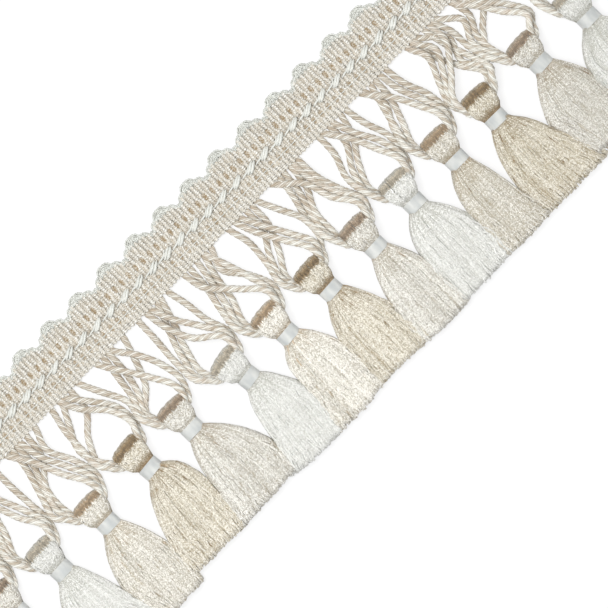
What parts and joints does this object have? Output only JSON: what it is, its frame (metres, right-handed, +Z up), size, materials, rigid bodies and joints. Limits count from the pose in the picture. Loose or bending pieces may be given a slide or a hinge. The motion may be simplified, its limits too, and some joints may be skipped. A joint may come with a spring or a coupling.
{
  "type": "tassel fringe trim",
  "caption": "Length of furnishing fringe: a scalloped openwork woven heading with a row of bound yarn tassels that hang from it on crossed loops of twisted cord.",
  "frame": {"origin": "on the surface that the trim lies on, under the middle of its overall box", "axes": "+X along the heading to the right, +Y across the trim from the tassels towards the scalloped edge, +Z up from the surface, towards the face side"},
  "size_m": [0.4012, 0.131, 0.0112],
  "materials": {
    "heading_weave": "fine satin",
    "cord_yarn": "satin",
    "binding_thread": "satin",
    "yarn_ecru": "satin",
    "yarn_white": "satin",
    "yarn_cream": "satin",
    "yarn_tan": "satin"
  },
  "bodies": {
    "root": {"heading": "heading_weave", "tassel_01": "yarn_ecru", "tassel_02": "yarn_white", "tassel_03": "yarn_cream", "tassel_04": "yarn_tan", "tassel_05": "yarn_ecru", "tassel_06": "yarn_white", "tassel_07": "yarn_cream", "tassel_08": "yarn_tan", "tassel_09": "yarn_ecru", "tassel_10": "yarn_white", "tassel_11": "yarn_cream", "tassel_12": "yarn_tan", "tassel_13": "yarn_ecru", "tassel_14": "yarn_white", "neck_binding_01": "binding_thread", "neck_binding_02": "binding_thread", "neck_binding_03": "binding_thread", "neck_binding_04": "binding_thread", "neck_binding_05": "binding_thread", "neck_binding_06": "binding_thread", "neck_binding_07": "binding_thread", "neck_binding_08": "binding_thread", "neck_binding_09": "binding_thread", "neck_binding_10": "binding_thread", "neck_binding_11": "binding_thread", "neck_binding_12": "binding_thread", "neck_binding_13": "binding_thread", "neck_binding_14": "binding_thread", "cord_loops_01": "cord_yarn", "cord_loops_02": "cord_yarn", "cord_loops_03": "cord_yarn", "cord_loops_04": "cord_yarn", "cord_loops_05": "cord_yarn", "cord_loops_06": "cord_yarn", "cord_loops_07": "cord_yarn", "cord_loops_08": "cord_yarn", "cord_loops_09": "cord_yarn", "cord_loops_10": "cord_yarn", "cord_loops_11": "cord_yarn", "cord_loops_12": "cord_yarn", "cord_loops_13": "cord_yarn", "cord_loops_14": "cord_yarn"}
  },
  "joints": []
}
